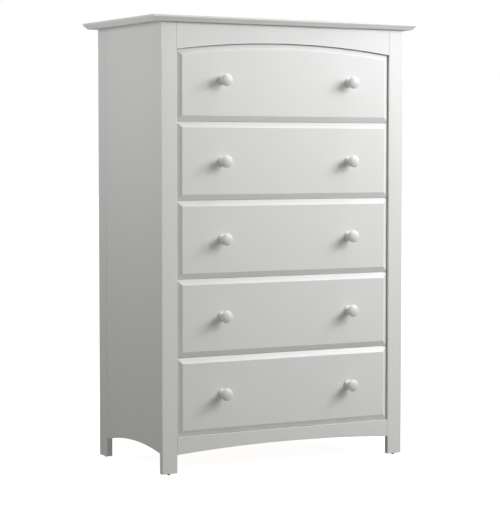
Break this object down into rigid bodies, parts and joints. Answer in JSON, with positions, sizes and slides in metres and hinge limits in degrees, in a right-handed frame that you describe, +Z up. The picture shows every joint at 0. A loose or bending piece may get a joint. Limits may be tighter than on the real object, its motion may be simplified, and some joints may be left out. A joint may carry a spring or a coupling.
{
  "type": "tall chest of drawers",
  "caption": "Tall painted chest of drawers with a bevelled top, an arched top rail, arched lower rails, bevelled fronts, round knobs and drawers that slide on strips.",
  "frame": {"origin": "on the floor, under the middle of the whole chest, knobs included", "axes": "+Z up, -Y out of the drawer fronts, +X to the right of someone who looks at the front"},
  "size_m": [0.856, 0.4724, 1.26],
  "materials": {
    "white_paint": "satin white paint on smooth board and solid wood",
    "bare_wood": "bare pale softwood, sanded, with its grain along the length",
    "hardboard": "thin brown hardboard, smooth on one face",
    "dark_plastic": "moulded dark plastic",
    "zinc_steel": "zinc-plated steel of the screws, cam locks and pins, which only the visual model shows"
  },
  "bodies": {
    "carcass": {"top_panel": "white_paint", "left_side_panel": "white_paint", "right_side_panel": "white_paint", "front_left_leg": "white_paint", "front_right_leg": "white_paint", "rear_left_leg": "white_paint", "rear_right_leg": "white_paint", "front_top_rail": "white_paint", "front_bottom_rail": "white_paint", "rear_bottom_rail": "white_paint", "back_panel": "hardboard", "front_left_glide": "dark_plastic", "front_right_glide": "dark_plastic", "rear_left_glide": "dark_plastic", "rear_right_glide": "dark_plastic", "runner_1_left": "bare_wood", "runner_1_right": "bare_wood", "runner_2_left": "bare_wood", "runner_2_right": "bare_wood", "runner_3_left": "bare_wood", "runner_3_right": "bare_wood", "runner_4_left": "bare_wood", "runner_4_right": "bare_wood", "runner_5_left": "bare_wood", "runner_5_right": "bare_wood"},
    "drawer_1": {"drawer_1_front": "white_paint", "drawer_1_left_side": "bare_wood", "drawer_1_right_side": "bare_wood", "drawer_1_back": "bare_wood", "drawer_1_bottom": "hardboard", "drawer_1_knob_left": "white_paint", "drawer_1_knob_right": "white_paint"},
    "drawer_2": {"drawer_2_front": "white_paint", "drawer_2_left_side": "bare_wood", "drawer_2_right_side": "bare_wood", "drawer_2_back": "bare_wood", "drawer_2_bottom": "hardboard", "drawer_2_knob_left": "white_paint", "drawer_2_knob_right": "white_paint"},
    "drawer_3": {"drawer_3_front": "white_paint", "drawer_3_left_side": "bare_wood", "drawer_3_right_side": "bare_wood", "drawer_3_back": "bare_wood", "drawer_3_bottom": "hardboard", "drawer_3_knob_left": "white_paint", "drawer_3_knob_right": "white_paint"},
    "drawer_4": {"drawer_4_front": "white_paint", "drawer_4_left_side": "bare_wood", "drawer_4_right_side": "bare_wood", "drawer_4_back": "bare_wood", "drawer_4_bottom": "hardboard", "drawer_4_knob_left": "white_paint", "drawer_4_knob_right": "white_paint"},
    "drawer_5": {"drawer_5_front": "white_paint", "drawer_5_left_side": "bare_wood", "drawer_5_right_side": "bare_wood", "drawer_5_back": "bare_wood", "drawer_5_bottom": "hardboard", "drawer_5_knob_left": "white_paint", "drawer_5_knob_right": "white_paint"}
  },
  "joints": [
    {"name": "drawer_1_slide", "type": "slide", "parent": "carcass", "child": "drawer_1", "axis": [0, -1, 0], "range_m": [0, 0.26]},
    {"name": "drawer_2_slide", "type": "slide", "parent": "carcass", "child": "drawer_2", "axis": [0, -1, 0], "range_m": [0, 0.26]},
    {"name": "drawer_3_slide", "type": "slide", "parent": "carcass", "child": "drawer_3", "axis": [0, -1, 0], "range_m": [0, 0.26]},
    {"name": "drawer_4_slide", "type": "slide", "parent": "carcass", "child": "drawer_4", "axis": [0, -1, 0], "range_m": [0, 0.26]},
    {"name": "drawer_5_slide", "type": "slide", "parent": "carcass", "child": "drawer_5", "axis": [0, -1, 0], "range_m": [0, 0.26]}
  ]
}
